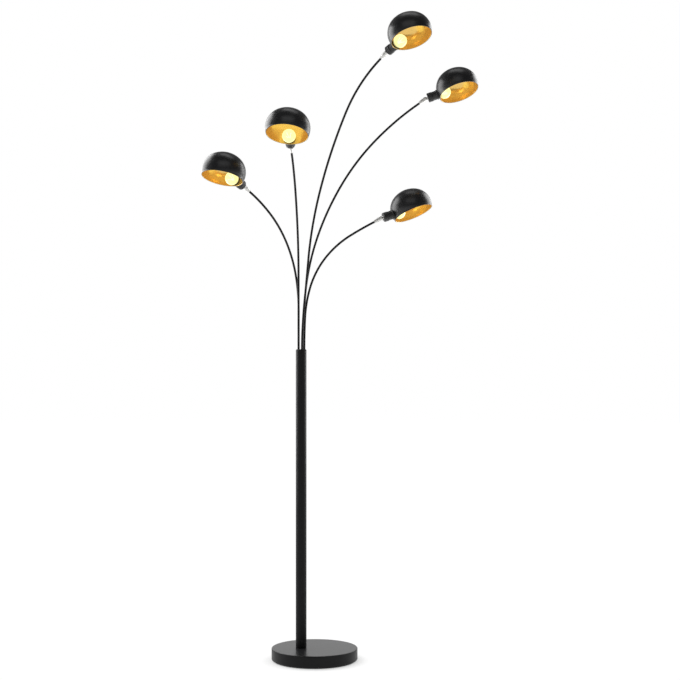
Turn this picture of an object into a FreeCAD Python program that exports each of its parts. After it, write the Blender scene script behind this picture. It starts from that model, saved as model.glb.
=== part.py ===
"""Tree floor lamp: a round weighted foot, an upright post set off the foot's
centre, and five slim bent arms that fan out of the post's top.  Each arm ends
in a ball swivel that carries a lampholder, a round open shade and a bulb.

Millimetres, +Z up.  Origin: centre of the foot's underside, on the floor.
-Y is the side the lamp is seen from, +X is the side the three long arms reach.
"""
import FreeCAD, Part
import math
import os

V = FreeCAD.Vector

# ---------------------------------------------------------------- dimensions
# foot
foot_r = 136.0            # outer radius of the foot cover
foot_top = 39.5           # height of the foot's top face
cover_bottom = 3.0        # the cover's lower edge, above the felt pad
cover_top_t = 1.5         # cover sheet, top
cover_side_t = 1.2        # cover sheet, side
cover_top_fillet = 2.0
cover_foot_fillet = 3.0
plate_r = 131.3
plate_top = 4.8
weight_r = 131.3
weight_bottom = 5.0
weight_top = 37.9
pad_r = 129.0
post_x = -42.5            # the post stands off the foot's centre
bolt_r = 5.0              # M10 post bolt
bolt_clear_r = 5.5
bolt_pocket_r = 16.0
bolt_pocket_top = 20.0
washer_t = 1.5
wire_y = 10.0             # wire hole beside the bolt
wire_r = 4.0
inlet_z = 14.0            # cord inlet, at the back of the foot
inlet_bore_r = 3.4
inlet_shank_r = 5.0
inlet_flange_r = 7.0

# post
post_r = 17.0
post_wall = 1.5
post_top = 975.0
plug_h = 25.0

# arm holder in the post's top
cap_top = 983.5
cap_bottom = 963.0
cap_chamfer = 2.6
guide_top = 951.0
guide_t = 6.0
ring_r = 10.0             # the five arms stand on this circle
root_angle = {3: 0.0, 2: 72.0, 4: 144.0, 5: 216.0, 1: 288.0}
arm_r = 3.5               # 7 mm tube
arm_wall = 0.8
arm_fit = 0.06            # running clearance of the arm in its two holes
collar_r = 5.0            # swaged collar that is clamped between cap and guide
collar_gap = 0.05
arm_foot = 938.0
bend_start = 983.0

# bends of each arm, from the post up: (length, radius), radius 0 is straight;
# the first number is the compass angle of the arm's vertical plane
arms = {
    1: (-27.3, [(115.2, 1157.0), (166.4, 0.0), (222.0, 1210.0), (257.5, 1588.0), (187.3, 472.0)]),
    2: (4.2, [(198.5, 1614.0), (185.5, 794.0), (168.4, 901.0), (164.5, 765.0), (179.1, 936.0)]),
    3: (7.8, [(99.7, 2053.0), (96.3, 411.0), (111.7, 283.0), (103.3, 311.0), (78.1, 1054.0)]),
    4: (-141.6, [(120.6, 0.0), (99.6, 583.0), (121.5, 402.0), (116.1, 367.0), (85.4, 475.0)]),
    5: (-96.0, [(114.9, 0.0), (113.4, 0.0), (145.7, 488.0), (143.1, 622.0), (118.5, 409.0)]),
}

# swivel at the arm's end
arm_to_ball = 38.0        # end of the last bend to the ball's centre
ferrule_tail = 26.0       # ferrule's rear end behind the ball's centre
ferrule_lip = 2.2         # ferrule's front lip past the ball's centre
ferrule_r = 6.9
ferrule_tail_r = 4.9
arm_end = 14.0            # tube end behind the ball's centre, inside the ferrule
ball_r = 5.7
ball_fit = 0.08           # ball to ferrule
cup_fit = 0.06            # friction cup to ball, and to ferrule
stud_r = 2.75
stud_bore_r = 1.6

# head: distances along the lampholder's axis from the shade's centre
head_axis = {             # compass angle, elevation, roll of the lampholder's axis
    1: (-45.1, 24.9, 2.5),
    2: (-5.7, 18.8, 16.1),
    3: (16.7, 18.5, 16.2),
    4: (-123.1, 17.4, 0.8),
    5: (-93.4, 20.2, 4.2),
}
ball_to_centre = 106.5
cap_back = 100.0
cap_wall = 3.0
cap_front = 84.0
cap_r = 15.0
holder_r = 14.2
holder_spigot_r = 13.0
flange_r = 16.0
flange_back = 69.5
flange_front = 66.85
thread_r = 13.9
thread_front = 60.7
ring_back = 63.4
ring_front = 60.6
ring_outer_r = 15.8
shade_r = 67.8            # largest outer radius of the round shade
shade_mid_z = 3.5         # height of that largest circle over the lampholder's axis
shade_top = 62.5          # top of the dome over the lampholder's axis
shade_top_r = 78.0        # the dome's top is flatter than its shoulders
shade_t = 0.8
rim_drop = 17.0           # rim plane below the lampholder's axis
rim_bead_r = 1.1
shade_hole_r = 14.1
bulb_r = 20.5
bulb_at = 44.0
bulb_tip = 90.0
bulb_glass_t = 0.9
bulb_neck_r = 8.3
bulb_neck_angle = 145.0   # where the neck's waist runs into the globe, from the tip

os.makedirs("parts", exist_ok=True)


# ------------------------------------------------------------------- helpers
def save(name, shape):
    shape.exportStep("parts/%s.step" % name)


def pt(rho, z):
    return V(rho, 0, z)


def revolve(start, *segs):
    """Solid turned about Z from a closed outline: (rho, z) makes a straight
    line to that point, ((rho, z), (rho, z)) an arc through the first point."""
    edges = []
    here = pt(*start)
    first = here
    for s in segs:
        if isinstance(s[0], tuple):
            mid, end = pt(*s[0]), pt(*s[1])
            edges.append(Part.Arc(here, mid, end).toShape())
        else:
            end = pt(*s)
            edges.append(Part.LineSegment(here, end).toShape())
        here = end
    if here.distanceToPoint(first) > 1e-7:
        edges.append(Part.LineSegment(here, first).toShape())
    face = Part.Face(Part.Wire(edges))
    solid = face.revolve(V(0, 0, 0), V(0, 0, 1), 360)
    if solid.Volume < 0:
        solid.reverse()
    return solid


def tube(r_out, r_in, z0, z1, x=0.0, y=0.0):
    s = Part.makeCylinder(r_out, z1 - z0, V(x, y, z0))
    if r_in > 0:
        s = s.cut(Part.makeCylinder(r_in, z1 - z0 + 2, V(x, y, z0 - 1)))
    return s


def hole(shape, r, z0, z1, x=0.0, y=0.0):
    return shape.cut(Part.makeCylinder(r, z1 - z0, V(x, y, z0)))


def box(x0, x1, y0, y1, z0, z1):
    return Part.makeBox(x1 - x0, y1 - y0, z1 - z0, V(x0, y0, z0))


def hexagon(across, z0, z1, x=0.0, y=0.0, turn=0.0):
    r = across / 2 / math.cos(math.pi / 6)
    p = [V(x + r * math.cos(math.radians(60 * i + turn)),
           y + r * math.sin(math.radians(60 * i + turn)), z0) for i in range(7)]
    p[6] = p[0]
    return Part.Face(Part.makePolygon(p)).extrude(V(0, 0, z1 - z0))


def place(shape, ex, ey, ez, origin):
    m = FreeCAD.Matrix(ex.x, ey.x, ez.x, origin.x,
                       ex.y, ey.y, ez.y, origin.y,
                       ex.z, ey.z, ez.z, origin.z,
                       0, 0, 0, 1)
    s = shape.copy()
    s.transformShape(m)
    return s


def unit(v):
    return V(v.x / v.Length, v.y / v.Length, v.z / v.Length)


def on_circle(r, z, a, b):
    """Middle point of an arc of a circle centred on the axis at (0, z)."""
    t = (a + b) / 2
    return (r * math.sin(t), z + r * math.cos(t))


# ---------------------------------------------------------------- geometry
def arm_path(n):
    """Edges of the arm's centre line, its end point and its end direction."""
    compass, bends = arms[n]
    a = math.radians(root_angle[n])
    root = V(post_x + ring_r * math.cos(a), ring_r * math.sin(a), 0)
    out = V(math.cos(math.radians(compass)), math.sin(math.radians(compass)), 0)
    up = V(0, 0, 1)
    edges = [Part.LineSegment(root + up * arm_foot, root + up * bend_start).toShape()]
    here, lean = root + up * bend_start, 0.0
    for length, radius in bends:
        d = out * math.sin(lean) + up * math.cos(lean)
        if radius == 0:
            end = here + d * length
            edges.append(Part.LineSegment(here, end).toShape())
        else:
            turn = length / radius
            side = out * math.cos(lean) - up * math.sin(lean)
            centre = here + side * radius

            def at(t):
                return centre - (side * math.cos(t) - d * math.sin(t)) * radius

            mid, end = at(turn / 2), at(turn)
            edges.append(Part.Arc(here, mid, end).toShape())
            lean += turn
        here = end
    d = out * math.sin(lean) + up * math.cos(lean)
    ball = here + d * arm_to_ball
    end = ball - d * arm_end
    edges.append(Part.LineSegment(here, end).toShape())
    return root, edges, ball, d


def head_frame(n):
    az, el, roll = (math.radians(v) for v in head_axis[n])
    h = V(math.cos(el) * math.cos(az), math.cos(el) * math.sin(az), math.sin(el))
    s = V(-math.sin(az), math.cos(az), 0)
    up = h.cross(s)
    a = up * math.cos(roll) + s * math.sin(roll)
    return unit(h), unit(a)


# -------------------------------------------------------------------- the foot
def build_foot():
    c = cover_foot_fillet
    f = cover_top_fillet
    ri = foot_r - cover_side_t
    k = math.sqrt(0.5)
    cover = revolve(
        (plate_r + 0.2, cover_bottom),
        (foot_r - c, cover_bottom),
        ((foot_r - c + c * k, cover_bottom + c - c * k), (foot_r, cover_bottom + c)),
        (foot_r, foot_top - f),
        ((foot_r - f + f * k, foot_top - f + f * k), (foot_r - f, foot_top)),
        (0.0, foot_top),
        (0.0, foot_top - cover_top_t),
        (ri, foot_top - cover_top_t),
        (ri, cover_bottom + c),
        ((foot_r - c + (c - cover_side_t) * k, cover_bottom + c - (c - cover_side_t) * k),
         (foot_r - c, cover_bottom + cover_side_t)),
        (plate_r + 0.2, cover_bottom + cover_side_t),
    )
    cover = hole(cover, bolt_clear_r, foot_top - 5, foot_top + 5, post_x, 0)
    cover = hole(cover, wire_r, foot_top - 5, foot_top + 5, post_x, wire_y)
    back = Part.makeCylinder(inlet_shank_r, 20, V(0, foot_r - 10, inlet_z), V(0, 1, 0))
    save("base_cover", cover.cut(back))

    weight = Part.makeCylinder(weight_r, weight_top - weight_bottom, V(0, 0, weight_bottom))
    weight = hole(weight, bolt_clear_r, 0, 60, post_x, 0)
    weight = hole(weight, bolt_pocket_r, 0, bolt_pocket_top, post_x, 0)
    weight = hole(weight, wire_r, 0, 60, post_x, wire_y)
    weight = weight.cut(box(-9, 9, 2, 140, 0, 23))
    weight = weight.cut(box(post_x, 9, 2, 18, 0, 23))

    plate = Part.makeCylinder(plate_r, plate_top - cover_bottom, V(0, 0, cover_bottom))
    plate = hole(plate, bolt_pocket_r, 0, 20, post_x, 0)
    screws = []
    for i in range(3):
        a = math.radians(30 + 120 * i)
        x, y = 118 * math.cos(a), 118 * math.sin(a)
        plate = hole(plate, 2.3, 0, 20, x, y)
        weight = hole(weight, 2.0, 0, 16, x, y)
        head = Part.makeCylinder(4.0, 1.4, V(x, y, cover_bottom - 1.4))
        shank = Part.makeCylinder(2.0, 12.0, V(x, y, cover_bottom))
        slot = box(x - 4.2, x + 4.2, y - 0.4, y + 0.4, cover_bottom - 1.4, cover_bottom - 0.7)
        screws.append(head.fuse(shank).cut(slot).removeSplitter())
    save("base_weight", weight)
    save("base_plate", plate)
    save("plate_screws", Part.makeCompound(screws))

    pad = Part.makeCylinder(pad_r, cover_bottom, V(0, 0, 0))
    pad = hole(pad, bolt_pocket_r, -1, 20, post_x, 0)
    for i in range(3):
        a = math.radians(30 + 120 * i)
        pad = hole(pad, 5.0, -1, 20, 118 * math.cos(a), 118 * math.sin(a))
    save("base_pad", pad)

    # post bolt and its washer
    z = bolt_pocket_top
    save("base_washer", tube(14.0, bolt_r + 0.2, z - washer_t, z, post_x, 0))
    head = hexagon(17.0, z - washer_t - 6.4, z - washer_t, post_x, 0)
    trim = revolve((0.0, z - washer_t - 6.4), (8.4, z - washer_t - 6.4),
                   (9.9, z - washer_t - 5.5), (9.9, z - washer_t), (0.0, z - washer_t))
    trim.translate(V(post_x, 0, 0))
    shank = Part.makeCylinder(bolt_r, 37.0, V(post_x, 0, z - washer_t))
    save("base_bolt", head.common(trim).fuse(shank).removeSplitter())

    # cord inlet bush, a flange outside and a snap ring inside the cover
    y = foot_r
    bush = revolve((inlet_bore_r, y - 8.0), (inlet_shank_r, y - 8.0), (inlet_shank_r + 0.9, y - 5.6),
                   (inlet_shank_r + 0.9, y - 4.0), (inlet_shank_r, y - 3.6), (inlet_shank_r, y),
                   (inlet_flange_r, y), (inlet_flange_r, y + 1.0),
                   ((inlet_flange_r - 0.35, y + 1.65), (inlet_flange_r - 1.0, y + 2.0)),
                   (inlet_bore_r, y + 2.0))
    save("cord_inlet", place(bush, V(1, 0, 0), V(0, 0, -1), V(0, 1, 0), V(0, 0, inlet_z)))

    block = box(-7.5, 7.5, 58, 84, weight_bottom + 0.3, 18.0)
    for i in range(3):
        x = -4.8 + 4.8 * i
        block = block.cut(Part.makeCylinder(1.5, 40, V(x, 50, 10.5), V(0, 1, 0)))
        for y in (64, 78):
            block = block.cut(Part.makeCylinder(1.4, 10, V(x, y, 10.5)))
    save("terminal_block", block)


# -------------------------------------------------------------------- the post
def build_post():
    save("post_tube", tube(post_r, post_r - post_wall, foot_top, post_top, post_x, 0)
         .cut(screw_holes(2.0)))
    ri = post_r - post_wall
    plug = Part.makeCylinder(ri, plug_h, V(post_x, 0, foot_top))
    plug = hole(plug, bolt_r, foot_top - 1, foot_top + plug_h - 3, post_x, 0)
    plug = hole(plug, wire_r, foot_top - 1, foot_top + plug_h + 1, post_x, wire_y)
    save("post_plug", plug)

    # arm holder: a turned cap with five holes, screwed to a guide disc below it
    c = cap_chamfer
    cap = revolve((0.0, cap_bottom), (ri, cap_bottom), (ri, post_top), (post_r, post_top),
                  (post_r, cap_top - c), (post_r - c, cap_top), (0.0, cap_top))
    guide = revolve((3.1, guide_top - guide_t), (ri - 0.2, guide_top - guide_t),
                    (ri - 0.2, guide_top), (3.1, guide_top))
    for a in root_angle.values():
        x, y = ring_r * math.cos(math.radians(a)), ring_r * math.sin(math.radians(a))
        cap = hole(cap, arm_r + arm_fit, cap_bottom - 1, cap_top + 1, x, y)
        guide = hole(guide, arm_r + arm_fit, guide_top - guide_t - 1, guide_top + 1, x, y)
    cap = hole(cap, 3.0, cap_bottom - 1, cap_bottom + 11, 0, 0)
    cap.translate(V(post_x, 0, 0))
    guide.translate(V(post_x, 0, 0))
    save("top_cap", cap.cut(screw_holes(2.0)))
    save("arm_guide", guide)

    z = guide_top - guide_t
    rod = Part.makeCylinder(3.0, cap_bottom + 10 - z, V(post_x, 0, z))
    head = revolve((0.0, z - 4.0), (4.6, z - 4.0), (5.0, z - 3.6), (5.0, z), (0.0, z))
    head = head.cut(hexagon(5.0, z - 4.1, z - 1.6))
    head.translate(V(post_x, 0, 0))
    save("guide_screw", head.fuse(rod).removeSplitter())

    grubs = []
    for a in (60.0, 120.0):
        d = V(math.cos(math.radians(a)), math.sin(math.radians(a)), 0)
        body = Part.makeCylinder(2.0, 2.9, V(0, 0, 14.0)).cut(hexagon(2.0, 15.2, 17.5))
        side = V(0, 0, 1).cross(d)
        grubs.append(place(body, side, V(0, 0, 1), d, V(post_x, 0, 969.0)))
    save("cap_screws", Part.makeCompound(grubs))


def screw_holes(r):
    out = None
    for a in (60.0, 120.0):
        d = V(math.cos(math.radians(a)), math.sin(math.radians(a)), 0)
        c = Part.makeCylinder(r, 6.0, V(post_x, 0, 969.0) + d * 14.0, d)
        out = c if out is None else out.fuse(c)
    return out


# --------------------------------------------------------------------- an arm
def build_arm(n):
    root, edges, ball, d = arm_path(n)
    wire = Part.Wire(edges)
    start = root + V(0, 0, arm_foot)

    def pipe(r):
        ring = Part.Wire([Part.Circle(start, V(0, 0, 1), r).toShape()])
        return wire.makePipeShell([ring], True, False)

    outer, inner = pipe(arm_r), pipe(arm_r - arm_wall)
    collar = tube(collar_r, arm_r - 0.3, guide_top + collar_gap, cap_bottom - collar_gap,
                  root.x, root.y)
    arm = outer.cut(inner).fuse(collar).removeSplitter()
    want = math.pi * (arm_r ** 2 - (arm_r - arm_wall) ** 2) * wire.Length
    got = outer.cut(inner).Volume
    print("arm_%d length %.1f volume ratio %.4f" % (n, wire.Length, got / want))
    save("arm_%d" % n, arm.Solids[0])

    # ferrule: tapered satin sleeve with the ball's seat in its front end
    seat = ball_r + ball_fit
    lip = math.sqrt(seat ** 2 - ferrule_lip ** 2)
    t0, t1 = math.pi / 2, math.acos(ferrule_lip / seat)
    ferrule = revolve(
        (arm_r, -ferrule_tail), (ferrule_tail_r - 0.4, -ferrule_tail),
        (ferrule_tail_r, -ferrule_tail + 0.4), (ferrule_tail_r + 0.1, -ferrule_tail + 3.0),
        (ferrule_r, -10.5), (ferrule_r, 1.0), (5.75, ferrule_lip), (lip, ferrule_lip),
        (on_circle(seat, 0, t0, t1), (seat, 0.0)),
        (seat, -9.6), (2.2, -9.6), (2.2, -arm_end + 0.6), (arm_r, -arm_end + 0.6))
    ez = unit(d)
    ex = unit(ez.cross(V(0, 0, 1)))
    ey = ez.cross(ex)
    save("ferrule_%d" % n, place(ferrule, ex, ey, ez, ball))

    # friction cup behind the ball, turns in the ferrule
    r = ball_r + cup_fit
    a0 = math.pi - math.asin(2.4 / r)
    a1 = math.acos(-2.0 / r)
    cup = revolve((2.4, -9.4), (ball_r + ball_fit - cup_fit, -9.4),
                  (ball_r + ball_fit - cup_fit, -2.0), (r * math.sin(a1), -2.0),
                  (on_circle(r, 0, a0, a1), (r * math.sin(a0), r * math.cos(a0))))
    save("friction_cup_%d" % n, place(cup, ex, ey, ez, ball))
    return ball, ez


# --------------------------------------------------------------------- a head
def turned(*args):
    """Turned solid whose axis is the lampholder's axis, local +X."""
    s = revolve(*args)
    s.rotate(V(0, 0, 0), V(0, 1, 0), 90)
    return s


def head_solids():
    out = {}
    # ball stud: ball, neck, collar and threaded end, bored for the wires
    b = -ball_to_centre
    x0 = math.sqrt(ball_r ** 2 - stud_bore_r ** 2)
    x1 = math.sqrt(ball_r ** 2 - stud_r ** 2)
    ta, tb = math.acos(-x0 / ball_r), math.acos(x1 / ball_r)
    out["ball_stud"] = turned(
        (stud_bore_r, b - x0),
        (on_circle(ball_r, b, ta, tb), (stud_r, b + x1)),
        (stud_r, -cap_back - 1.0), (5.0, -cap_back - 1.0), (5.0, -cap_back),
        (4.0, -cap_back), (4.0, -cap_back + 5.4), (stud_bore_r, -cap_back + 5.4))

    # rear cap of the lampholder, with a threaded boss for the stud
    out["holder_cap"] = turned(
        (4.0, -cap_back), (cap_r - 1.6, -cap_back),
        ((cap_r - 0.47, -cap_back + 0.47), (cap_r, -cap_back + 1.6)),
        (cap_r, -cap_front - 0.5), (cap_r - 0.5, -cap_front), (holder_spigot_r, -cap_front),
        (holder_spigot_r, -cap_back + cap_wall), (7.0, -cap_back + cap_wall),
        (7.0, -cap_back + 5.4), (4.0, -cap_back + 5.4))

    # lampholder body; its thread passes through the shade
    body = turned(
        (2.0, -93.5), (holder_spigot_r, -93.5), (holder_spigot_r, -cap_front),
        (holder_r, -cap_front), (holder_r, -flange_back - 0.8), (flange_r, -flange_back),
        (flange_r, -flange_front - 0.6), (flange_r - 0.6, -flange_front),
        (thread_r, -flange_front), (thread_r, -thread_front), (13.0, -thread_front),
        (13.0, -69.0), (8.0, -73.5), (7.9, -73.5), (7.9, -91.0), (2.0, -91.0))
    sleeve = turned((7.05, -91.0), (7.9, -91.0), (7.9, -74.0), (7.05, -74.0))
    contact = turned((0.0, -94.2), (2.0, -94.2), (2.0, -90.6), (1.2, -bulb_tip), (0.0, -bulb_tip))
    out["lampholder"] = Part.makeCompound([body, sleeve, contact])

    out["shade_ring"] = turned(
        (thread_r, -ring_back), (ring_outer_r, -ring_back),
        (ring_outer_r, -ring_front - 0.6), (ring_outer_r - 0.6, -ring_front),
        (thread_r, -ring_front))

    # shade: flat-topped round dome, open below its middle, with a rolled bead at
    # the rim; its outline is a top arc and a tighter side arc that meet smoothly
    top_z = shade_top - shade_top_r
    rise = shade_mid_z - top_z
    side_r = (shade_top_r ** 2 - shade_r ** 2 - rise ** 2) / (2 * (shade_top_r - shade_r))
    side_x = shade_r - side_r
    turn = math.atan2(side_x, rise)
    zr, rb = -rim_drop, rim_bead_r
    rm = side_x + math.sqrt((side_r - shade_t / 2) ** 2 - (zr - shade_mid_z) ** 2)

    def on_top(off, t):
        return ((shade_top_r - off) * math.sin(t), top_z + (shade_top_r - off) * math.cos(t))

    def on_side(off, t):
        return (side_x + (side_r - off) * math.sin(t), shade_mid_z + (side_r - off) * math.cos(t))

    def meet(off):
        """Angle at which the side arc, off inside the outer face, meets the bead."""
        rs = side_r - off
        dx, dz = rm - side_x, zr - shade_mid_z
        d = math.hypot(dx, dz)
        a = (rs ** 2 - rb ** 2 + d ** 2) / (2 * d)
        q = math.sqrt(rs ** 2 - a ** 2)
        return math.atan2((a * dx - q * dz) / d, (a * dz + q * dx) / d)

    to, ti = meet(0.0), meet(shade_t)
    under = (rm, zr - rb)
    shade = revolve((0.0, shade_top - shade_t), (0.0, shade_top),
                    (on_top(0.0, turn / 2), on_top(0.0, turn)),
                    (on_side(0.0, (turn + to) / 2), on_side(0.0, to)),
                    ((rm + rb, zr), under), ((rm - rb, zr), on_side(shade_t, ti)),
                    (on_side(shade_t, (turn + ti) / 2), on_side(shade_t, turn)),
                    (on_top(shade_t, turn / 2), (0.0, shade_top - shade_t)))
    shade = shade.cut(Part.makeCylinder(shade_hole_r, 30, V(-50, 0, 0), V(-1, 0, 0)))
    out["shade"] = shade.Solids[0]

    # bulb: hollow round envelope, waisted neck and screw cap
    c, r, t = -bulb_at, bulb_r, bulb_glass_t
    lean = math.radians(bulb_neck_angle)
    turn = lean - math.pi / 2
    w = (r * math.sin(lean) - bulb_neck_r) / (1 - math.cos(turn))
    top = c + r * math.cos(lean)
    foot = top - w * math.sin(turn)

    def waist(rad, q):
        """Point on the waist's arc, q from 0 at the foot to 1 at the globe."""
        return (bulb_neck_r + w - rad * math.cos(q * turn), foot + rad * math.sin(q * turn))

    out["bulb"] = turned(
        (0.8, -bulb_tip), (3.0, -bulb_tip), (5.2, -87.6), (6.7, -87.2), (6.7, foot - 2.0),
        (bulb_neck_r - 0.4, foot - 1.6), (bulb_neck_r, foot - 0.8), waist(w, 0),
        (waist(w, 0.5), waist(w, 1)),
        (on_circle(r, c, lean, 0.0), (0.0, c + r)),
        (0.0, c + r - t),
        (on_circle(r - t, c, lean, 0.0), waist(w + t, 1)),
        (waist(w + t, 0.5), waist(w + t, 0)),
        (bulb_neck_r - t, foot - 0.8), (5.9, foot - 2.2), (5.9, -86.6), (0.8, -88.6))
    return out


def build_heads(balls):
    local = head_solids()
    for n in sorted(arms):
        h, a = head_frame(n)
        centre = balls[n][0] + h * ball_to_centre
        y = a.cross(h)
        for name, shape in local.items():
            save("%s_%d" % (name, n), place(shape, h, y, a, centre))


def main():
    build_foot()
    build_post()
    balls = {n: build_arm(n) for n in sorted(arms)}
    build_heads(balls)
    return balls


main()
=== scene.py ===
"""Looks of the tree floor lamp: a round weighted foot, a post, five slim bent
arms with ball swivels, and five round open shades, black outside and gold inside,
each with a lit round bulb.  Metres; the tables below are in millimetres."""
import bpy
import math
import numpy as np
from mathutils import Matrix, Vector


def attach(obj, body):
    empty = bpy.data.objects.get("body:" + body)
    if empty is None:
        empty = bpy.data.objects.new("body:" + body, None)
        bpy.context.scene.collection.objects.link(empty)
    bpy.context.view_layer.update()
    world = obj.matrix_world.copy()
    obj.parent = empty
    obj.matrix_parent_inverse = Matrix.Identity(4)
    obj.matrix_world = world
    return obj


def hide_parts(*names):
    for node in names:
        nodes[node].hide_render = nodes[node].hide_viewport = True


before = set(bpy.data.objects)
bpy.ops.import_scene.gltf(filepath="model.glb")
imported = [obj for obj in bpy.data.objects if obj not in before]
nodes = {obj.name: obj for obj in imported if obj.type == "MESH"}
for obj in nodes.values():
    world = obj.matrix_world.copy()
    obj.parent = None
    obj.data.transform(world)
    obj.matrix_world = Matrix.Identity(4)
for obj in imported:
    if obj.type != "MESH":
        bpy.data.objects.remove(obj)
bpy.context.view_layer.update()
MM = 0.001

# ------------------------------------------------------------------ dimensions
FOOT_R, FOOT_TOP, COVER_BOTTOM = 136.0, 39.5, 3.0
POST_X, POST_R, POST_TOP, CAP_TOP = -42.5, 17.0, 975.0, 983.5
RING_R, ARM_R, ARM_FOOT, BEND_START = 10.0, 3.5, 938.0, 983.0
ROOT_ANGLE = {3: 0.0, 2: 72.0, 4: 144.0, 5: 216.0, 1: 288.0}
ARMS = {
    1: (-27.3, [(115.2, 1157.0), (166.4, 0.0), (222.0, 1210.0), (257.5, 1588.0), (187.3, 472.0)]),
    2: (4.2, [(198.5, 1614.0), (185.5, 794.0), (168.4, 901.0), (164.5, 765.0), (179.1, 936.0)]),
    3: (7.8, [(99.7, 2053.0), (96.3, 411.0), (111.7, 283.0), (103.3, 311.0), (78.1, 1054.0)]),
    4: (-141.6, [(120.6, 0.0), (99.6, 583.0), (121.5, 402.0), (116.1, 367.0), (85.4, 475.0)]),
    5: (-96.0, [(114.9, 0.0), (113.4, 0.0), (145.7, 488.0), (143.1, 622.0), (118.5, 409.0)]),
}
HEAD_AXIS = {
    1: (-45.1, 24.9, 2.5), 2: (-5.7, 18.8, 16.1), 3: (16.7, 18.5, 16.2),
    4: (-123.1, 17.4, 0.8), 5: (-93.4, 20.2, 4.2),
}
ARM_TO_BALL, ARM_END, BALL_TO_CENTRE = 38.0, 14.0, 106.5
BALL_R, STUD_R = 5.7, 2.75
SHADE_R, SHADE_T, RIM_DROP, BEAD_R, HOLE_R = 67.8, 0.8, 17.0, 1.1, 14.1
SHADE_MID_Z, SHADE_TOP, SHADE_TOP_R = 3.5, 62.5, 78.0
BULB_R, BULB_AT, NECK_R, NECK_ANGLE = 20.5, 44.0, 8.3, 145.0


# ------------------------------------------------------------------- materials
def new_material(name):
    m = bpy.data.materials.new(name)
    m.use_nodes = True
    nt = m.node_tree
    nt.nodes.clear()
    out = nt.nodes.new("ShaderNodeOutputMaterial")
    b = nt.nodes.new("ShaderNodeBsdfPrincipled")
    nt.links.new(b.outputs["BSDF"], out.inputs["Surface"])
    return m, nt, b


def noise(nt, scale, detail=3.0, rough=0.5, coord="Object", stretch=None):
    tc = nt.nodes.new("ShaderNodeTexCoord")
    n = nt.nodes.new("ShaderNodeTexNoise")
    n.inputs["Scale"].default_value = scale
    n.inputs["Detail"].default_value = detail
    n.inputs["Roughness"].default_value = rough
    if stretch:
        mp = nt.nodes.new("ShaderNodeMapping")
        mp.inputs["Scale"].default_value = stretch
        nt.links.new(tc.outputs[coord], mp.inputs["Vector"])
        nt.links.new(mp.outputs["Vector"], n.inputs["Vector"])
    else:
        nt.links.new(tc.outputs[coord], n.inputs["Vector"])
    return n


def span(nt, value, lo, hi, a=0.3, b=0.7):
    m = nt.nodes.new("ShaderNodeMapRange")
    m.inputs["From Min"].default_value = a
    m.inputs["From Max"].default_value = b
    m.inputs["To Min"].default_value = lo
    m.inputs["To Max"].default_value = hi
    nt.links.new(value, m.inputs["Value"])
    return m.outputs["Result"]


def ramp(nt, value, c0, c1, a=0.35, b=0.65):
    r = nt.nodes.new("ShaderNodeValToRGB")
    r.color_ramp.elements[0].position, r.color_ramp.elements[0].color = a, (*c0, 1)
    r.color_ramp.elements[1].position, r.color_ramp.elements[1].color = b, (*c1, 1)
    nt.links.new(value, r.inputs["Fac"])
    return r.outputs["Color"]


def bump(nt, bsdf, height, strength, distance):
    b = nt.nodes.new("ShaderNodeBump")
    b.inputs["Strength"].default_value = strength
    b.inputs["Distance"].default_value = distance
    nt.links.new(height, b.inputs["Height"])
    nt.links.new(b.outputs["Normal"], bsdf.inputs["Normal"])


def powder_coat(name, rough, grain=0.25, tint=(0.0075, 0.0075, 0.0085), shine=0.5):
    """Satin black powder coat: fine orange peel, slightly uneven sheen."""
    m, nt, b = new_material(name)
    big = noise(nt, 9.0, 4.0)
    dark = tuple(c * 0.86 for c in tint)
    pale = tuple(c * 1.18 for c in tint)
    nt.links.new(ramp(nt, big.outputs["Fac"], dark, pale), b.inputs["Base Color"])
    fine = noise(nt, 620.0 if grain else 55.0, 2.0, 0.6)
    nt.links.new(span(nt, fine.outputs["Fac"], rough - 0.035, rough + 0.035), b.inputs["Roughness"])
    if grain:
        bump(nt, b, fine.outputs["Fac"], grain, 0.00012)
    b.inputs["Specular IOR Level"].default_value = shine
    return m


def gold_paint():
    """Glossy gold lining: warm metallic paint under a clear coat, with a faint painted glow that stands in for the
    bulb's light on it.
    """
    m, nt, b = new_material("gold_lining")
    cloud = noise(nt, 34.0, 4.0)
    nt.links.new(ramp(nt, cloud.outputs["Fac"], (0.69, 0.475, 0.135), (0.72, 0.50, 0.15)), b.inputs["Base Color"])
    b.inputs["Metallic"].default_value = 0.7
    nt.links.new(span(nt, cloud.outputs["Fac"], 0.15, 0.18), b.inputs["Roughness"])
    b.inputs["Coat Weight"].default_value = 0.2
    b.inputs["Coat Roughness"].default_value = 0.06
    # painted glow: the lining emits a little warm light in place of the bulb lighting it
    b.inputs["Emission Color"].default_value = (1.0, 0.55, 0.10, 1)
    b.inputs["Emission Strength"].default_value = 0.12
    return m


def metal(name, colour, rough, scale=240.0, stretch=(1, 1, 1), metallic=1.0, depth=0.00005):
    m, nt, b = new_material(name)
    n = noise(nt, scale, 4.0, 0.6, stretch=stretch)
    dark = tuple(c * 0.9 for c in colour)
    nt.links.new(ramp(nt, n.outputs["Fac"], dark, colour), b.inputs["Base Color"])
    b.inputs["Metallic"].default_value = metallic
    nt.links.new(span(nt, n.outputs["Fac"], rough - 0.03, rough + 0.03), b.inputs["Roughness"])
    return m


def dull(name, dark, pale, rough, scale, depth=0.0002, strength=0.4, detail=4.0):
    m, nt, b = new_material(name)
    n = noise(nt, scale, detail, 0.6)
    nt.links.new(ramp(nt, n.outputs["Fac"], dark, pale), b.inputs["Base Color"])
    nt.links.new(span(nt, n.outputs["Fac"], rough + 0.05, rough - 0.05), b.inputs["Roughness"])
    bump(nt, b, n.outputs["Fac"], strength, depth)
    return m


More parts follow.
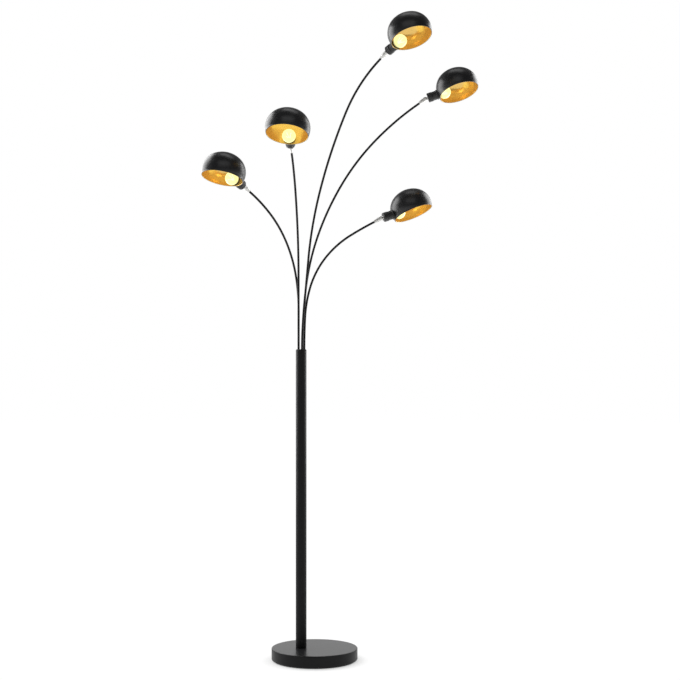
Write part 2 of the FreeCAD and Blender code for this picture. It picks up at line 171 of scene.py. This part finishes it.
def lit_glass(name, strength, alpha):
    """Globe filled with the filaments' glow; dimmer towards its neck."""
    m, nt, b = new_material(name)
    b.inputs["Base Color"].default_value = (0.25, 0.20, 0.07, 1)
    b.inputs["Roughness"].default_value = 0.05
    b.inputs["Alpha"].default_value = alpha
    b.inputs["Emission Color"].default_value = (1.0, 0.95, 0.43, 1)
    b.inputs["Emission Strength"].default_value = strength
    return m


def glow(name, colour, strength):
    m, nt, b = new_material(name)
    b.inputs["Base Color"].default_value = (1.0, 0.85, 0.5, 1)
    b.inputs["Roughness"].default_value = 0.4
    b.inputs["Emission Color"].default_value = (*colour, 1)
    b.inputs["Emission Strength"].default_value = strength
    return m


# foot cover: one black coat drawn as two copies, a lighter, shinier one on the top (painted light) and a darker, duller
# one on the side (painted shade)
FOOT_TOP_LIT = powder_coat("black_powder_coat", 0.33, 0.08, shine=0.6)
FOOT_SIDE_SHADED = powder_coat("black_foot_side_painted_shade", 0.42, 0.0, (0.005, 0.005, 0.0055), 0.2)
POWDER = powder_coat("black_post_coat", 0.48, 0.0, (0.004, 0.004, 0.0045), 0.22)
ARM_BLACK = powder_coat("black_arm_coat", 0.5, 0.0, (0.004, 0.004, 0.0045), 0.2)
SHADE_BLACK = powder_coat("black_shade_coat", 0.33, 0.0, shine=0.45)
PLASTIC = dull("black_satin_plastic", (0.004, 0.004, 0.0045), (0.008, 0.008, 0.0085), 0.46, 700.0, 0.00008, 0.3)
GOLD = gold_paint()
NICKEL = metal("satin_nickel", (0.70, 0.695, 0.675), 0.5)
STEEL = metal("plated_steel", (0.62, 0.62, 0.64), 0.34)
WHITE_PLASTIC = dull("white_plastic", (0.62, 0.62, 0.59), (0.74, 0.74, 0.71), 0.5, 300.0)
BLACK_PLASTIC = dull("black_plastic", (0.015, 0.015, 0.015), (0.022, 0.022, 0.022), 0.5, 400.0)
CEMENT = dull("cast_cement", (0.30, 0.295, 0.28), (0.46, 0.45, 0.43), 0.9, 60.0, 0.0015, 0.8, 8.0)
FELT = dull("felt", (0.012, 0.012, 0.012), (0.035, 0.035, 0.035), 0.95, 900.0, 0.0008, 1.0)
GLASSES = [lit_glass("bulb_glass", 1.12, 0.84), lit_glass("bulb_glass_shoulder", 0.72, 0.8), lit_glass("bulb_glass_neck", 0.4, 0.65)]
GLOW = glow("filament_glow", (1.0, 0.86, 0.58), 5.0)
STEM = dull("bulb_stem", (0.30, 0.22, 0.10), (0.42, 0.30, 0.14), 0.2, 200.0)


# --------------------------------------------------------------------- meshes
def arc(cx, cy, r, a0, a1, n):
    t = np.radians(np.linspace(a0, a1, n + 1))
    return [(cx + r * math.cos(v), cy + r * math.sin(v)) for v in t]


def rounded(points, n=4):
    """Outline (rho, z[, radius]) with its corners rounded to their radius."""
    out = []
    for i, p in enumerate(points):
        r = p[2] if len(p) > 2 else 0.0
        if r <= 0 or i in (0, len(points) - 1):
            out.append((p[0], p[1]))
            continue
        a = np.array(points[i - 1][:2], float) - p[:2]
        b = np.array(points[i + 1][:2], float) - p[:2]
        la, lb = np.linalg.norm(a), np.linalg.norm(b)
        a, b = a / la, b / lb
        half = math.acos(max(-1, min(1, float(a @ b)))) / 2
        cut = min(r / math.tan(half), 0.49 * la, 0.49 * lb)
        p0, p1, c = np.array(p[:2]) + a * cut, np.array(p[:2]) + b * cut, np.array(p[:2])
        for t in np.linspace(0, 1, n + 1):
            q = (1 - t) ** 2 * p0 + 2 * t * (1 - t) * c + t * t * p1
            out.append((float(q[0]), float(q[1])))
    return out


def mesh_object(name, verts, faces, materials, face_material=None, sharp=32.0):
    me = bpy.data.meshes.new(name)
    me.from_pydata([tuple(v) for v in (np.asarray(verts, float) * MM)], [], faces)
    for m in materials:
        me.materials.append(m)
    if face_material is not None:
        me.polygons.foreach_set("material_index", face_material)
    me.polygons.foreach_set("use_smooth", [True] * len(me.polygons))
    me.update()
    me.set_sharp_from_angle(angle=math.radians(sharp))
    o = bpy.data.objects.new(name, me)
    bpy.context.scene.collection.objects.link(o)
    return o


def lathe_arrays(profile, segments, closed=False, ripple=None):
    """Vertices and faces turned about Z.  ripple(i, angles) adds to the radius of
    outline point i."""
    t = np.arange(segments) * 2 * math.pi / segments
    verts, rings, faces = [], [], []
    for i, (r, z) in enumerate(profile):
        if r < 1e-6:
            rings.append([len(verts)])
            verts.append((0.0, 0.0, z))
            continue
        rr = np.full(segments, r) if ripple is None else r + ripple(i, t)
        rings.append(list(range(len(verts), len(verts) + segments)))
        verts += list(zip(rr * np.cos(t), rr * np.sin(t), np.full(segments, z)))
    pairs = list(zip(range(len(profile) - 1), range(1, len(profile))))
    if closed:
        pairs.append((len(profile) - 1, 0))
    owner = []
    for i, k in pairs:
        a, b = rings[i], rings[k]
        if len(a) == 1 and len(b) == 1:
            continue
        for j in range(segments):
            q = (j + 1) % segments
            if len(a) == 1:
                f = (a[0], b[q], b[j])
            elif len(b) == 1:
                f = (a[j], a[q], b[0])
            else:
                f = (a[j], a[q], b[q], b[j])
            faces.append(f)
            owner.append(i)
    return np.array(verts, float), faces, owner


def outward(verts, faces):
    """Turns all faces over if the closed surface encloses a negative volume."""
    v = np.asarray(verts, float)
    tri = []
    for f in faces:
        if len(f) == 4:
            tri += [(f[0], f[1], f[2]), (f[0], f[2], f[3])]
        else:
            tri += [(f[0], f[k], f[k + 1]) for k in range(1, len(f) - 1)]
    t = np.array(tri)
    vol = float(np.einsum("ij,ij->i", v[t[:, 0]], np.cross(v[t[:, 1]], v[t[:, 2]])).sum())
    return faces if vol > 0 else [tuple(reversed(f)) for f in faces]


def lathe(name, profile, place, materials, segments=96, closed=False, ripple=None, face_material=None, sharp=32.0):
    v, f, owner = lathe_arrays(profile, segments, closed, ripple)
    f = outward(v, f)
    fm = [face_material(i) for i in owner] if face_material else None
    return mesh_object(name, place(v), f, materials, fm, sharp)


def upright(x, y, z=0.0):
    return lambda v: v + np.array([x, y, z])


def along(origin, ez, ex=None):
    """Places local Z along ez."""
    ez = np.asarray(ez, float) / np.linalg.norm(ez)
    if ex is None:
        ex = np.cross(ez, (0, 0, 1.0))
    ex = ex - ez * (ex @ ez)
    ex = ex / np.linalg.norm(ex)
    ey = np.cross(ez, ex)
    m = np.array([ex, ey, ez])
    return lambda v: np.asarray(v) @ m + np.asarray(origin, float)


def tube_sweep(points, radius, segments, ends=True):
    """Round tube along a polyline, with parallel transported sections."""
    p = np.asarray(points, float)
    t = np.gradient(p, axis=0)
    t /= np.linalg.norm(t, axis=1)[:, None]
    ref = np.array([0.0, 1.0, 0.0]) if abs(t[0][1]) < 0.9 else np.array([1.0, 0, 0])
    u = np.cross(t[0], ref)
    u /= np.linalg.norm(u)
    ang = np.arange(segments) * 2 * math.pi / segments
    verts, faces = [], []
    for i in range(len(p)):
        u = u - t[i] * (u @ t[i])
        u /= np.linalg.norm(u)
        w = np.cross(t[i], u)
        r = radius(i) if callable(radius) else radius
        verts.append(p[i] + r * (np.outer(np.cos(ang), u) + np.outer(np.sin(ang), w)))
    verts = np.concatenate(verts)
    for i in range(len(p) - 1):
        for j in range(segments):
            q = (j + 1) % segments
            faces.append((i * segments + j, i * segments + q, (i + 1) * segments + q, (i + 1) * segments + j))
    if ends:
        faces.append(tuple(range(segments))[::-1])
        faces.append(tuple((len(p) - 1) * segments + j for j in range(segments)))
    return verts, outward(verts, faces)


# ------------------------------------------------------------------- geometry
def unit(v):
    v = np.asarray(v, float)
    return v / np.linalg.norm(v)


def arm_path(n, step=5.0):
    """Points of the arm's centre line, its ball's centre and its end direction."""
    compass, bends = ARMS[n]
    a = math.radians(ROOT_ANGLE[n])
    root = np.array([POST_X + RING_R * math.cos(a), RING_R * math.sin(a), 0.0])
    out = np.array([math.cos(math.radians(compass)), math.sin(math.radians(compass)), 0.0])
    up = np.array([0.0, 0.0, 1.0])
    pts = [root + up * ARM_FOOT]
    here, lean = root + up * BEND_START, 0.0
    pts.append(here)
    for length, radius in bends:
        d = out * math.sin(lean) + up * math.cos(lean)
        k = max(2, int(round(length / step)))
        if radius == 0:
            pts += [here + d * length * i / k for i in range(1, k + 1)]
        else:
            side = out * math.cos(lean) - up * math.sin(lean)
            centre = here + side * radius
            turn = length / radius
            for i in range(1, k + 1):
                t = turn * i / k
                pts.append(centre - (side * math.cos(t) - d * math.sin(t)) * radius)
            lean += turn
        here = pts[-1]
    d = out * math.sin(lean) + up * math.cos(lean)
    ball = here + d * ARM_TO_BALL
    for i in range(1, 5):
        pts.append(here + d * (ARM_TO_BALL - ARM_END) * i / 4)
    return np.array(pts), ball, d


def head_frame(n):
    az, el, roll = (math.radians(v) for v in HEAD_AXIS[n])
    h = np.array([math.cos(el) * math.cos(az), math.cos(el) * math.sin(az), math.sin(el)])
    s = np.array([-math.sin(az), math.cos(az), 0.0])
    a = np.cross(h, s) * math.cos(roll) + s * math.sin(roll)
    return unit(h), unit(a)


# ------------------------------------------------------------------------ foot
def build_foot():
    f = 2.0
    side = FOOT_R
    profile = [(0.0, FOOT_TOP)]
    profile += [(r, FOOT_TOP) for r in (40.0, 90.0, side - f - 6.0)]
    profile += arc(side - f, FOOT_TOP - f, f, 90, 0, 8)
    profile += [(side, FOOT_TOP - f - 6.0), (side, 20.0), (side, COVER_BOTTOM + 3.0 + 5.0)]
    profile += arc(side - 3.0, COVER_BOTTOM + 3.0, 3.0, 0, -90, 8)
    profile += [(131.6, COVER_BOTTOM), (131.6, COVER_BOTTOM + 1.2)]
    profile += [(side - 3.0, COVER_BOTTOM + 1.2), (side - 1.2, COVER_BOTTOM + 3.0), (side - 1.2, FOOT_TOP - 1.5), (0.0, FOOT_TOP - 1.5)]
    # top and upper fillet take the lit copy of the coat, the side takes the shaded copy: painted light and painted
    # shade on one part
    o = lathe("foot_cover", profile, upright(0, 0), [FOOT_TOP_LIT, FOOT_SIDE_SHADED], 256, sharp=40,
              face_material=lambda i: 0 if i < 8 else 1)
    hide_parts("base_cover")
    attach(o, "stand")

    # post, closed above by the cap
    z0 = FOOT_TOP
    tube = [(POST_R - 1.5, z0), (POST_R - 0.3, z0), (POST_R, z0 + 0.3), (POST_R, 300.0), (POST_R, 600.0),
            (POST_R, POST_TOP - 0.35), (POST_R - 0.3, POST_TOP - 0.05), (POST_R - 1.5, POST_TOP - 0.05)]
    o = lathe("post", tube, upright(POST_X, 0), [POWDER], 128, closed=True)
    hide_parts("post_tube")
    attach(o, "stand")


# ------------------------------------------------------------------------ arms
def build_arm(n):
    pts, ball, d = arm_path(n)
    v, f = tube_sweep(pts, ARM_R, 28)
    o = mesh_object("arm_tube_%d" % n, v, f, [ARM_BLACK], sharp=50)
    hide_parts("arm_%d" % n)
    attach(o, "arm_%d" % n)

    # tapered sleeve with a groove and a small bead at each end
    prof = [(3.52, -26.0), (4.5, -26.0), (4.86, -25.7, 0.2), (5.0, -23.4, 0.6), (5.15, -22.2, 0.3),
            (5.75, -18.3, 4.0), (6.85, -11.0, 3.0), (6.88, -8.6, 0.3), (6.5, -8.3, 0.15), (6.5, -7.7, 0.15),
            (6.88, -7.4, 0.3), (6.88, 0.9, 0.8), (5.78, 2.15, 0.3), (5.42, 2.15)]
    prof = rounded(prof, 4)
    prof += [(5.6, 1.2), (5.76, -0.3), (5.76, -9.5), (3.0, -9.5), (3.0, -13.3), (3.52, -13.3)]
    o = lathe("sleeve_%d" % n, prof, along(ball, d), [NICKEL], 72, closed=True)
    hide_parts("ferrule_%d" % n)
    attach(o, "arm_%d" % n)
    return ball


# ----------------------------------------------------------------------- heads
def ribs(count, depth, rows):
    """Shallow lengthwise grooves on the outline points named in rows."""
    def f(i, t):
        if i not in rows:
            return 0.0 * t
        w = 0.5 + 0.5 * np.cos(count * t)
        return -depth * (1 - w) ** 2.2 * rows[i]
    return f


def shade_mesh(n, place):
    """Round shade: flat-topped dome, rolled bead, inner face, and a hole at the
    lampholder's side.  Local X is the lampholder's axis, Z the dome's top."""
    seg, rings = 224, 76
    top_z = SHADE_TOP - SHADE_TOP_R
    rise = SHADE_MID_Z - top_z
    side_r = (SHADE_TOP_R ** 2 - SHADE_R ** 2 - rise ** 2) / (2 * (SHADE_TOP_R - SHADE_R))
    side_x = SHADE_R - side_r
    turn = math.atan2(side_x, rise)
    zr, rb = -RIM_DROP, BEAD_R
    rm = side_x + math.sqrt((side_r - SHADE_T / 2) ** 2 - (zr - SHADE_MID_Z) ** 2)

    def face(off):
        """Outline of the face that lies off inside the outer one, from the top down."""
        rs = side_r - off
        dx, dz = rm - side_x, zr - SHADE_MID_Z
        d = math.hypot(dx, dz)
        a = (rs ** 2 - rb ** 2 + d ** 2) / (2 * d)
        q = math.sqrt(rs ** 2 - a ** 2)
        end = math.atan2((a * dx - q * dz) / d, (a * dz + q * dx) / d)
        rt = SHADE_TOP_R - off
        pts = [(rt * math.sin(t), top_z + rt * math.cos(t)) for t in np.linspace(0, turn, rings // 2)[:-1]]
        pts += [(side_x + rs * math.sin(t), SHADE_MID_Z + rs * math.cos(t)) for t in np.linspace(turn, end, rings // 2)]
        pts[0] = (0.0, SHADE_TOP - off)
        return pts

    outer, inner = face(0.0), face(SHADE_T)[::-1]
    po, pi = outer[-1], inner[0]
    a0 = math.degrees(math.atan2(po[1] - zr, po[0] - rm))
    a1 = math.degrees(math.atan2(pi[1] - zr, pi[0] - rm))
    if a1 > a0:
        a1 -= 360.0
    bead = arc(rm, zr, rb, a0, a1, 18)[1:-1]
    profile = outer + bead + inner
    v, f, owner = lathe_arrays(profile, seg)
    # outline point where gold starts: inside the bead's lowest point
    split = len(outer) + next(k for k, p in enumerate(bead) if p[0] < rm - 0.8 * rb) - 1

    # outline point of each vertex, and the faces inside the lampholder's hole
    row = []
    for k, p in enumerate(profile):
        row += [k] * (1 if p[0] < 1e-6 else seg)
    side = [0 if k < len(outer) else (1 if k >= len(outer) + len(bead) else 2) for k in row]
    drop, keep = [], []
    for k, face_k in enumerate(f):
        c = v[list(face_k)].mean(0)
        inside = c[0] < 0 and math.hypot(c[1], c[2]) < HOLE_R and all(side[i] != 2 for i in face_k)
        (drop if inside else keep).append(k)
    dropped = set(i for k in drop for i in f[k])
    kept = set(i for k in keep for i in f[k])
    border = dropped & kept
    for i in border:
        yz = v[i][1:] / np.linalg.norm(v[i][1:]) * HOLE_R
        rs = side_r - (SHADE_T if side[i] == 1 else 0.0)
        rho = side_x + math.sqrt(rs ** 2 - (yz[1] - SHADE_MID_Z) ** 2)
        v[i] = (-math.sqrt(rho ** 2 - yz[0] ** 2), yz[0], yz[1])
    # wall of the hole, between the outer and inner borders
    ring_edges = {}
    for k in drop:
        face = f[k]
        for a, b in zip(face, face[1:] + face[:1]):
            ring_edges[frozenset((a, b))] = ring_edges.get(frozenset((a, b)), 0) + 1
    edges = [tuple(e) for e, c in ring_edges.items() if c == 1]
    out_b = [i for i in border if side[i] == 0]
    in_b = [i for i in border if side[i] == 1]
    th = lambda i: math.atan2(v[i][2], v[i][1])
    out_b.sort(key=th)
    in_b.sort(key=th)
    faces = [f[k] for k in keep]
    mat = [1 if owner[k] >= split else 0 for k in keep]
    if len(out_b) == len(in_b):
        m = len(out_b)
        for k in range(m):
            q = (k + 1) % m
            faces.append((out_b[k], out_b[q], in_b[q], in_b[k]))
            mat.append(0)
    used = sorted(set(i for face in faces for i in face))
    remap = {i: k for k, i in enumerate(used)}
    faces = [tuple(remap[i] for i in face) for face in faces]
    v = v[used]
    o = mesh_object("shade_shell_%d" % n, place(v), faces, [SHADE_BLACK, GOLD], mat, sharp=60)
    # face directions: the wall's quads take theirs from the mesh around them
    import bmesh
    bm = bmesh.new()
    bm.from_mesh(o.data)
    bmesh.ops.recalc_face_normals(bm, faces=bm.faces)
    bm.to_mesh(o.data)
    bm.free()
    o.data.set_sharp_from_angle(angle=math.radians(60))
    return o


def build_head(n, ball):
    h, a = head_frame(n)
    c = ball + h * BALL_TO_CENTRE
    y = np.cross(a, h)
    body = "head_%d" % n

    def local(v):
        return np.asarray(v) @ np.array([h, y, a]) + c

    def axial(v):
        """Lathe along local Z placed on the lampholder's axis."""
        v = np.asarray(v)
        return local(np.stack([v[:, 2], v[:, 1], v[:, 0]], axis=1))

    def put(o, slot, *replaced):
        if replaced:
            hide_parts(*replaced)
        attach(o, body)
        return o

    # ball and neck of the swivel
    b = -BALL_TO_CENTRE
    x1 = math.degrees(math.asin(STUD_R / BALL_R))
    prof = [(1.6, b - math.sqrt(BALL_R ** 2 - 1.6 ** 2))]
    t0 = 180 - math.degrees(math.asin(1.6 / BALL_R))
    for t in np.linspace(t0, x1, 20)[1:]:
        prof.append((BALL_R * math.sin(math.radians(t)), b + BALL_R * math.cos(math.radians(t))))
    prof += rounded([(STUD_R, b + 5.2), (STUD_R, -101.0, 0.3), (4.7, -101.0, 0.3), (5.0, -100.7, 0.2), (5.0, -100.02)], 3)[1:]
    prof += [(1.6, -100.02)]
    put(lathe("swivel_ball_%d" % n, prof, axial, [NICKEL], 64, closed=True), "satin_nickel", "ball_stud_%d" % n)

    # rear cap, with fine grip ribs
    cap = rounded([(4.0, -100.0), (13.2, -100.0, 1.0), (15.0, -98.6, 1.3), (15.0, -97.4), (15.0, -86.4), (15.0, -84.9, 0.4),
                   (14.5, -84.05, 0.3), (13.0, -84.05)], 4)
    rows = {i: 1.0 for i, p in enumerate(cap) if -97.5 < p[1] < -86.3}
    cap += [(13.0, -97.0), (4.0, -97.0)]
    put(lathe("holder_back_%d" % n, cap, axial, [PLASTIC], 224, closed=True, ripple=ribs(28, 0.32, rows)),
        "black_satin_plastic", "holder_cap_%d" % n)

    # lampholder body: ribbed barrel, then a plain flange against the shade
    barrel = rounded([(2.0, -93.5), (12.9, -93.5), (12.9, -84.0), (13.8, -84.0, 0.3), (14.2, -83.5, 0.3), (14.2, -82.6),
                      (14.2, -73.2), (14.2, -72.4), (14.2, -70.4, 0.4), (16.0, -69.5, 0.4), (16.0, -67.5, 0.5), (15.4, -66.9, 0.2),
                      (13.9, -66.9), (13.9, -60.75), (13.0, -60.75)], 3)
    rows = {i: 1.0 for i, p in enumerate(barrel) if -82.7 < p[1] < -73.1 and p[0] > 14}
    barrel += [(13.0, -69.0), (8.0, -73.5), (7.95, -91.0), (2.0, -91.0)]
    put(lathe("holder_body_%d" % n, barrel, axial, [PLASTIC], 224, closed=True, ripple=ribs(28, 0.26, rows)),
        "black_satin_plastic", "lampholder_%d" % n)

    ring = rounded([(13.95, -63.35), (15.75, -63.35), (15.75, -61.2, 0.4), (15.2, -60.65, 0.2), (13.95, -60.65)], 3)
    put(lathe("clamp_ring_%d" % n, ring, axial, [PLASTIC], 96, closed=True), "black_satin_plastic", "shade_ring_%d" % n)

    put(shade_mesh(n, local), "black_powder_coat", "shade_%d" % n)

    # bulb: glass, stem, filaments and screw cap
    bc, r = -BULB_AT, BULB_R
    lean = math.radians(NECK_ANGLE)
    turn = lean - math.pi / 2
    w = (r * math.sin(lean) - NECK_R) / (1 - math.cos(turn))
    top = bc + r * math.cos(lean)
    foot = top - w * math.sin(turn)
    prof = [(0.0, foot - 1.5), (NECK_R - 0.5, foot - 1.5), (NECK_R, foot - 0.8)]
    prof += [(NECK_R + w - w * math.cos(q * turn), foot + w * math.sin(q * turn)) for q in np.linspace(0, 1, 10)]
    prof += [(r * math.sin(t), bc + r * math.cos(t)) for t in np.linspace(lean, 0, 40)[1:-1]] + [(0.0, bc + r)]
    shoulder, neck = bc - 0.52 * r, bc - 0.76 * r
    put(lathe("bulb_globe_%d" % n, prof, axial, GLASSES, 72, sharp=60,
              face_material=lambda i: 2 if prof[i][1] < neck else (1 if prof[i][1] < shoulder else 0)), "bulb_glass", "bulb_%d" % n)

    stem = rounded([(0.0, foot - 1.0), (5.0, foot - 1.0), (4.6, foot + 1.0, 1.0), (2.2, foot + 5.0, 2.0), (1.6, foot + 14.0, 0.6),
                    (1.9, foot + 15.0, 0.6), (0.0, foot + 16.0)], 4)
    put(lathe("bulb_stem_%d" % n, stem, axial, [STEM], 32), "bulb_glass")

    # four upright filaments that lean outwards from the stem
    vv, ff, fm = [], [], []
    for k in range(4):
        t = math.radians(45 + 90 * k)
        p0 = np.array([2.2 * math.cos(t), 2.2 * math.sin(t), foot + 13.0])
        p1 = np.array([9.5 * math.cos(t), 9.5 * math.sin(t), bc + 9.0])
        path = [p0 + (p1 - p0) * s for s in np.linspace(0, 1, 9)]
        v, f = tube_sweep(path, 0.75, 12)
        off = sum(len(x) for x in vv)
        vv.append(v)
        ff += [tuple(i + off for i in q) for q in f]
    put(mesh_object("bulb_filaments_%d" % n, axial(np.concatenate(vv)), ff, [GLOW], sharp=50), "bulb_glass")

    # screw cap of the bulb, inside the holder
    z = -87.2
    prof = [(0.0, -90.0), (2.8, -90.0), (5.0, -87.8), (6.3, -87.4)]
    steps = 60
    for k in range(steps + 1):
        zz = z + (foot - 2.4 - z) * k / steps
        prof.append((6.45 + 0.22 * math.cos(2 * math.pi * (zz - z) / 2.8), zz))
    prof += [(6.4, foot - 1.7), (0.0, foot - 1.7)]
    put(lathe("bulb_screw_cap_%d" % n, prof, axial, [NICKEL], 48), "satin_nickel")


# --------------------------------------------------------------- camera, light
def build_camera():
    cam = bpy.data.cameras.new("camera")
    cam.sensor_fit = "HORIZONTAL"
    cam.sensor_width = 36.0
    cam.lens = 1495.0 / 680.0 * 36.0
    cam.clip_end = 100.0
    cam.dof.use_dof = False
    o = bpy.data.objects.new("camera", cam)
    o.location = (0.08046, -4.7317, 1.0128)
    o.rotation_euler = (math.radians(90), 0, 0)
    bpy.context.scene.collection.objects.link(o)
    bpy.context.scene.camera = o


def area(name, loc, target, size, power, colour=(1, 1, 1), shape="RECTANGLE"):
    l = bpy.data.lights.new(name, "AREA")
    l.shape = shape
    l.size, l.size_y = size
    l.energy = power
    l.color = colour
    o = bpy.data.objects.new(name, l)
    o.location = loc
    o.rotation_euler = (Vector(target) - Vector(loc)).to_track_quat("-Z", "Y").to_euler()
    o.visible_camera = False
    bpy.context.scene.collection.objects.link(o)
    return o


def build_studio():
    # floor: pale, round, running out into plain white far from the lamp
    me = bpy.data.meshes.new("studio_floor")
    seg, verts, faces = 96, [(0.0, 0.0, 0.0)], []
    radii = [0.5, 1.0, 2.0, 4.0, 8.0, 14.0]
    for r in radii:
        verts += [(r * math.cos(2 * math.pi * j / seg), r * math.sin(2 * math.pi * j / seg), 0.0) for j in range(seg)]
    for j in range(seg):
        faces.append((0, 1 + j, 1 + (j + 1) % seg))
    for k in range(len(radii) - 1):
        for j in range(seg):
            q = (j + 1) % seg
            a, b = 1 + k * seg, 1 + (k + 1) * seg
            faces.append((a + j, b + j, b + q, a + q))
    me.from_pydata([(x, y, -0.0002) for x, y, _ in verts], [], faces)
    m, nt, b = new_material("studio_floor")
    b.inputs["Base Color"].default_value = (0.93, 0.93, 0.93, 1)
    b.inputs["Roughness"].default_value = 0.9
    b.inputs["Specular IOR Level"].default_value = 0.1
    em = nt.nodes.new("ShaderNodeEmission")
    em.inputs["Strength"].default_value = 1.03
    tc = nt.nodes.new("ShaderNodeTexCoord")
    ln = nt.nodes.new("ShaderNodeVectorMath")
    ln.operation = "LENGTH"
    nt.links.new(tc.outputs["Object"], ln.inputs[0])
    mix = nt.nodes.new("ShaderNodeMixShader")
    mr = nt.nodes.new("ShaderNodeMapRange")
    mr.interpolation_type = "SMOOTHSTEP"
    mr.inputs["From Min"].default_value = 0.08
    mr.inputs["From Max"].default_value = 0.19
    nt.links.new(ln.outputs["Value"], mr.inputs["Value"])
    nt.links.new(mr.outputs["Result"], mix.inputs["Fac"])
    nt.links.new(b.outputs["BSDF"], mix.inputs[1])
    nt.links.new(em.outputs["Emission"], mix.inputs[2])
    out = next(x for x in nt.nodes if x.type == "OUTPUT_MATERIAL")
    nt.links.new(mix.outputs["Shader"], out.inputs["Surface"])
    me.materials.append(m)
    o = bpy.data.objects.new("studio_floor", me)
    bpy.context.scene.collection.objects.link(o)

    # room: white behind the lamp, a dim room in front of it; plain white where seen
    w = bpy.data.worlds.new("studio")
    bpy.context.scene.world = w
    w.use_nodes = True
    nt = w.node_tree
    nt.nodes.clear()
    out = nt.nodes.new("ShaderNodeOutputWorld")
    seen = nt.nodes.new("ShaderNodeBackground")
    seen.inputs["Color"].default_value = (1, 1, 1, 1)
    seen.inputs["Strength"].default_value = 1.0
    room = nt.nodes.new("ShaderNodeBackground")
    tc = nt.nodes.new("ShaderNodeTexCoord")
    sep = nt.nodes.new("ShaderNodeSeparateXYZ")
    nt.links.new(tc.outputs["Generated"], sep.inputs[0])

    def fade(value, a, b, lo, hi):
        mr = nt.nodes.new("ShaderNodeMapRange")
        mr.interpolation_type = "SMOOTHSTEP"
        for key, x in (("From Min", a), ("From Max", b), ("To Min", lo), ("To Max", hi)):
            mr.inputs[key].default_value = x
        nt.links.new(value, mr.inputs["Value"])
        return mr.outputs["Result"]

    def maths(kind, a, b=None):
        n = nt.nodes.new("ShaderNodeMath")
        n.operation = kind
        nt.links.new(a, n.inputs[0])
        if b is not None:
            nt.links.new(b, n.inputs[1])
        return n.outputs[0]

    behind = fade(sep.outputs["Y"], 0.72, 0.97, 0.0, 1.15)
    band = fade(maths("ABSOLUTE", sep.outputs["Z"]), 0.18, 0.5, 1.0, 0.0)
    glow_band = maths("MULTIPLY", behind, band)
    base = fade(sep.outputs["Y"], -0.2, 0.6, 0.16, 0.24)
    nt.links.new(maths("ADD", glow_band, base), room.inputs["Strength"])
    lp = nt.nodes.new("ShaderNodeLightPath")
    mix = nt.nodes.new("ShaderNodeMixShader")
    nt.links.new(lp.outputs["Is Camera Ray"], mix.inputs["Fac"])
    nt.links.new(room.outputs["Background"], mix.inputs[1])
    nt.links.new(seen.outputs["Background"], mix.inputs[2])
    nt.links.new(mix.outputs["Shader"], out.inputs["Surface"])

    c = (0.0, 0.0, 1.2)
    area("softbox_top", (0.3, 0.5, 4.2), (0.1, 0, 1.5), (2.0, 1.0), 10.5)
    area("softbox_left", (-1.05, 0.42, 1.5), (-0.25, -0.1, 1.4), (1.1, 2.0), 30)
    area("softbox_right", (1.2, 0.72, 1.5), (0.35, 0.0, 1.6), (0.9, 2.0), 22)
    area("floor_fill", (0.0, -2.2, 3.0), (0, 0, 0), (2.5, 1.5), 9)

    vs = bpy.context.scene.view_settings
    vs.view_transform = "Standard"
    vs.look = "None"


# ------------------------------------------------------------------------ main
build_camera()
build_foot()
for n in sorted(ARMS):
    build_head(n, build_arm(n))

CAD_LOOKS = {
    "base_weight": CEMENT, "base_plate": STEEL, "base_pad": FELT, "plate_screws": STEEL, "base_bolt": STEEL,
    "base_washer": STEEL, "cord_inlet": BLACK_PLASTIC, "terminal_block": WHITE_PLASTIC, "post_plug": STEEL,
    "top_cap": POWDER, "arm_guide": WHITE_PLASTIC, "guide_screw": STEEL, "cap_screws": POWDER,
}
for i in ARMS:
    CAD_LOOKS["friction_cup_%d" % i] = WHITE_PLASTIC
for name, mat in CAD_LOOKS.items():
    slots = nodes[name].material_slots
    for s in slots:
        s.material = mat

build_studio()
